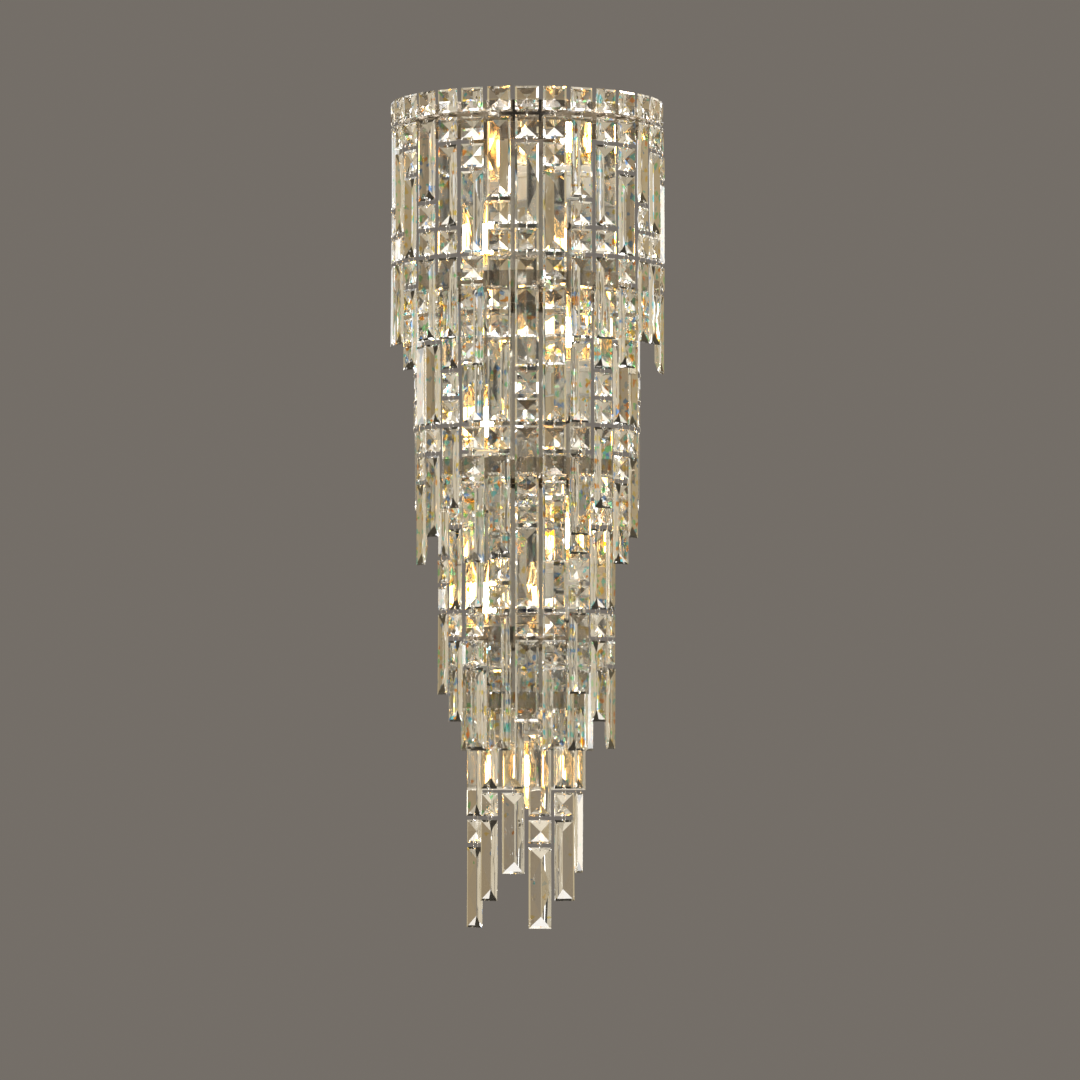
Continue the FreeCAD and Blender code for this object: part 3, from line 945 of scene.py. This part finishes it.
# The room by direction: 0 is straight behind the viewer, 1 is straight behind the object.
ROOM_TONES = [
    (0.0, (0.27, 0.24, 0.19)),
    (0.0045, (0.25, 0.22, 0.18)),
    (0.0070, (0.03, 0.03, 0.03)),
    (0.032, (0.04, 0.04, 0.04)),
    (0.060, (0.56, 0.50, 0.38)),
    (0.50, (0.67, 0.59, 0.45)),
    (0.90, (0.52, 0.42, 0.25)),
    (0.965, (0.30, 0.22, 0.12)),
    (0.986, (0.175, 0.157, 0.138)),
    (1.0, (0.175, 0.157, 0.138)),
]

# Lights as width and height, azimuth and elevation in degrees, watts and colour.
LIGHT_DISTANCE = 2.4
LIGHT_AIM = Vector((0, -0.09, -0.15))
WARM = (1.0, 0.93, 0.80)
COOL = (0.96, 0.98, 1.0)
SOFT_BOX = (1.1, 1.1)
STRIP = (0.05, 0.9)
HIGH_CARD = (1.3, 2.0)
LOW_CARD = (1.3, 0.3)
THIN_CARD = (0.09, 1.2)
STUDIO_LIGHTS = [
    (HIGH_CARD, 180, 30, 6.8, COOL),
    (LOW_CARD, 176, -30, 0.35, WARM),
    (THIN_CARD, 147, 3, 0.8, COOL),
    (THIN_CARD, 214, 0, 0.8, COOL),
    (THIN_CARD, 135, 0, 0.8, WARM),
    (THIN_CARD, 226, 3, 0.8, COOL),
    (SOFT_BOX, -50, 40, 11, WARM),
    (SOFT_BOX, 45, 38, 11, COOL),
    (SOFT_BOX, -130, 40, 9, COOL),
    (SOFT_BOX, 140, 40, 9, WARM),
    (STRIP, -82, 30, 6, COOL),
    (STRIP, -66, -32, 6, WARM),
    (STRIP, -30, 28, 6, COOL),
    (STRIP, -22, -34, 6, COOL),
    (STRIP, -5, 42, 6, WARM),
    (STRIP, 12, -28, 6, WARM),
    (STRIP, 22, 30, 6, COOL),
    (STRIP, 40, -34, 6, COOL),
    (STRIP, 70, 30, 6, WARM),
    (STRIP, 84, -30, 6, COOL),
    (STRIP, 108, 34, 6, WARM),
    (STRIP, -108, 32, 6, WARM),
    (STRIP, 160, -34, 6, WARM),
    (STRIP, -150, -32, 6, COOL),
]
OVERHEAD_PLACE = (0, -0.3, 2.6)
OVERHEAD_SIZE = 2.4
OVERHEAD_POWER = 45

CAMERA_PLACE = Vector((0.0146, -5.48, 0))
CAMERA_BELOW_CROWN = 0.7342
CAMERA_TILT = math.radians(2.52)
CAMERA_LENS = 160.7
CAMERA_SENSOR = 36
CAMERA_CLIP_END = 100

GLASS_BOUNCES = 20
GLOSSY_BOUNCES = 8


def pale_floor():
    """A plain pale floor under the object."""
    deselect()
    bpy.ops.mesh.primitive_plane_add(size=FLOOR_SIZE, location=(0, 0, FLOOR_HEIGHT))
    floor = bpy.context.object
    floor.name = "floor"
    material, tree, shader = new_material("pale_floor", Roughness=0.7)
    tree.links.new(mottled(tree, FLOOR_SCALE, *FLOOR_TONES), shader.inputs["Base Color"])
    dress(floor, material)
    floor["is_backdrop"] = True


def area_light(name, shape, power):
    """An area light that the camera doesn't see."""
    data = bpy.data.lights.new(name, "AREA")
    data.shape = shape
    data.energy = power
    light = bpy.data.objects.new(name, data)
    light.visible_camera = False
    bpy.context.scene.collection.objects.link(light)
    return light, data


def studio_light(number, size, azimuth, elevation, power, colour):
    """A rectangular light that faces the object from one side."""
    light, data = area_light("studio_%d" % number, "RECTANGLE", power)
    data.size, data.size_y = size
    data.color = colour
    around = Matrix.Rotation(math.radians(azimuth), 4, "Z")
    above = Matrix.Rotation(math.radians(-elevation), 4, "X")
    direction = around @ above @ OUT_OF_WALL
    light.location = LIGHT_AIM + direction * LIGHT_DISTANCE
    light.rotation_mode = "QUATERNION"
    light.rotation_quaternion = direction.to_track_quat("Z", "Y")


def overhead_light():
    """One large soft light overhead."""
    light, data = area_light("overhead", "SQUARE", OVERHEAD_POWER)
    data.size = OVERHEAD_SIZE
    light.location = OVERHEAD_PLACE


def soft_world():
    """A plain warm grey room: dark around the viewer, and a taupe panel behind the object."""
    world = bpy.data.worlds.new("soft_room")
    world.use_nodes = True
    bpy.context.scene.world = world
    tree = world.node_tree
    where = tree.nodes.new("ShaderNodeTexCoord")
    split = tree.nodes.new("ShaderNodeSeparateXYZ")
    spread = add(tree, "ShaderNodeMapRange", From_Min=-1.0)
    ramp = colour_ramp(tree, ROOM_TONES)
    tree.links.new(where.outputs["Generated"], split.inputs["Vector"])
    tree.links.new(split.outputs["Y"], spread.inputs["Value"])
    tree.links.new(spread.outputs["Result"], ramp.inputs["Fac"])
    tree.links.new(ramp.outputs["Color"], tree.nodes["Background"].inputs["Color"])


def photo_camera():
    """The camera at the photograph's angle: in front, low down, looking a little up."""
    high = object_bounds()[1]
    look = Vector((0, math.cos(CAMERA_TILT), math.sin(CAMERA_TILT)))
    data = bpy.data.cameras.new("camera")
    data.sensor_width = CAMERA_SENSOR
    data.lens = CAMERA_LENS
    data.clip_end = CAMERA_CLIP_END
    camera = bpy.data.objects.new("camera", data)
    camera.location = CAMERA_PLACE + UP * (high.z - CAMERA_BELOW_CROWN)
    camera.rotation_mode = "QUATERNION"
    camera.rotation_quaternion = look.to_track_quat("-Z", "Y")
    bpy.context.scene.collection.objects.link(camera)
    bpy.context.scene.camera = camera


pale_floor()
overhead_light()
for number, light in enumerate(STUDIO_LIGHTS, start=1):
    studio_light(number, *light)
soft_world()
photo_camera()

scene = bpy.context.scene
scene.view_settings.view_transform = "Standard"
scene.cycles.max_bounces = GLASS_BOUNCES
scene.cycles.transmission_bounces = GLASS_BOUNCES
scene.cycles.glossy_bounces = GLOSSY_BOUNCES
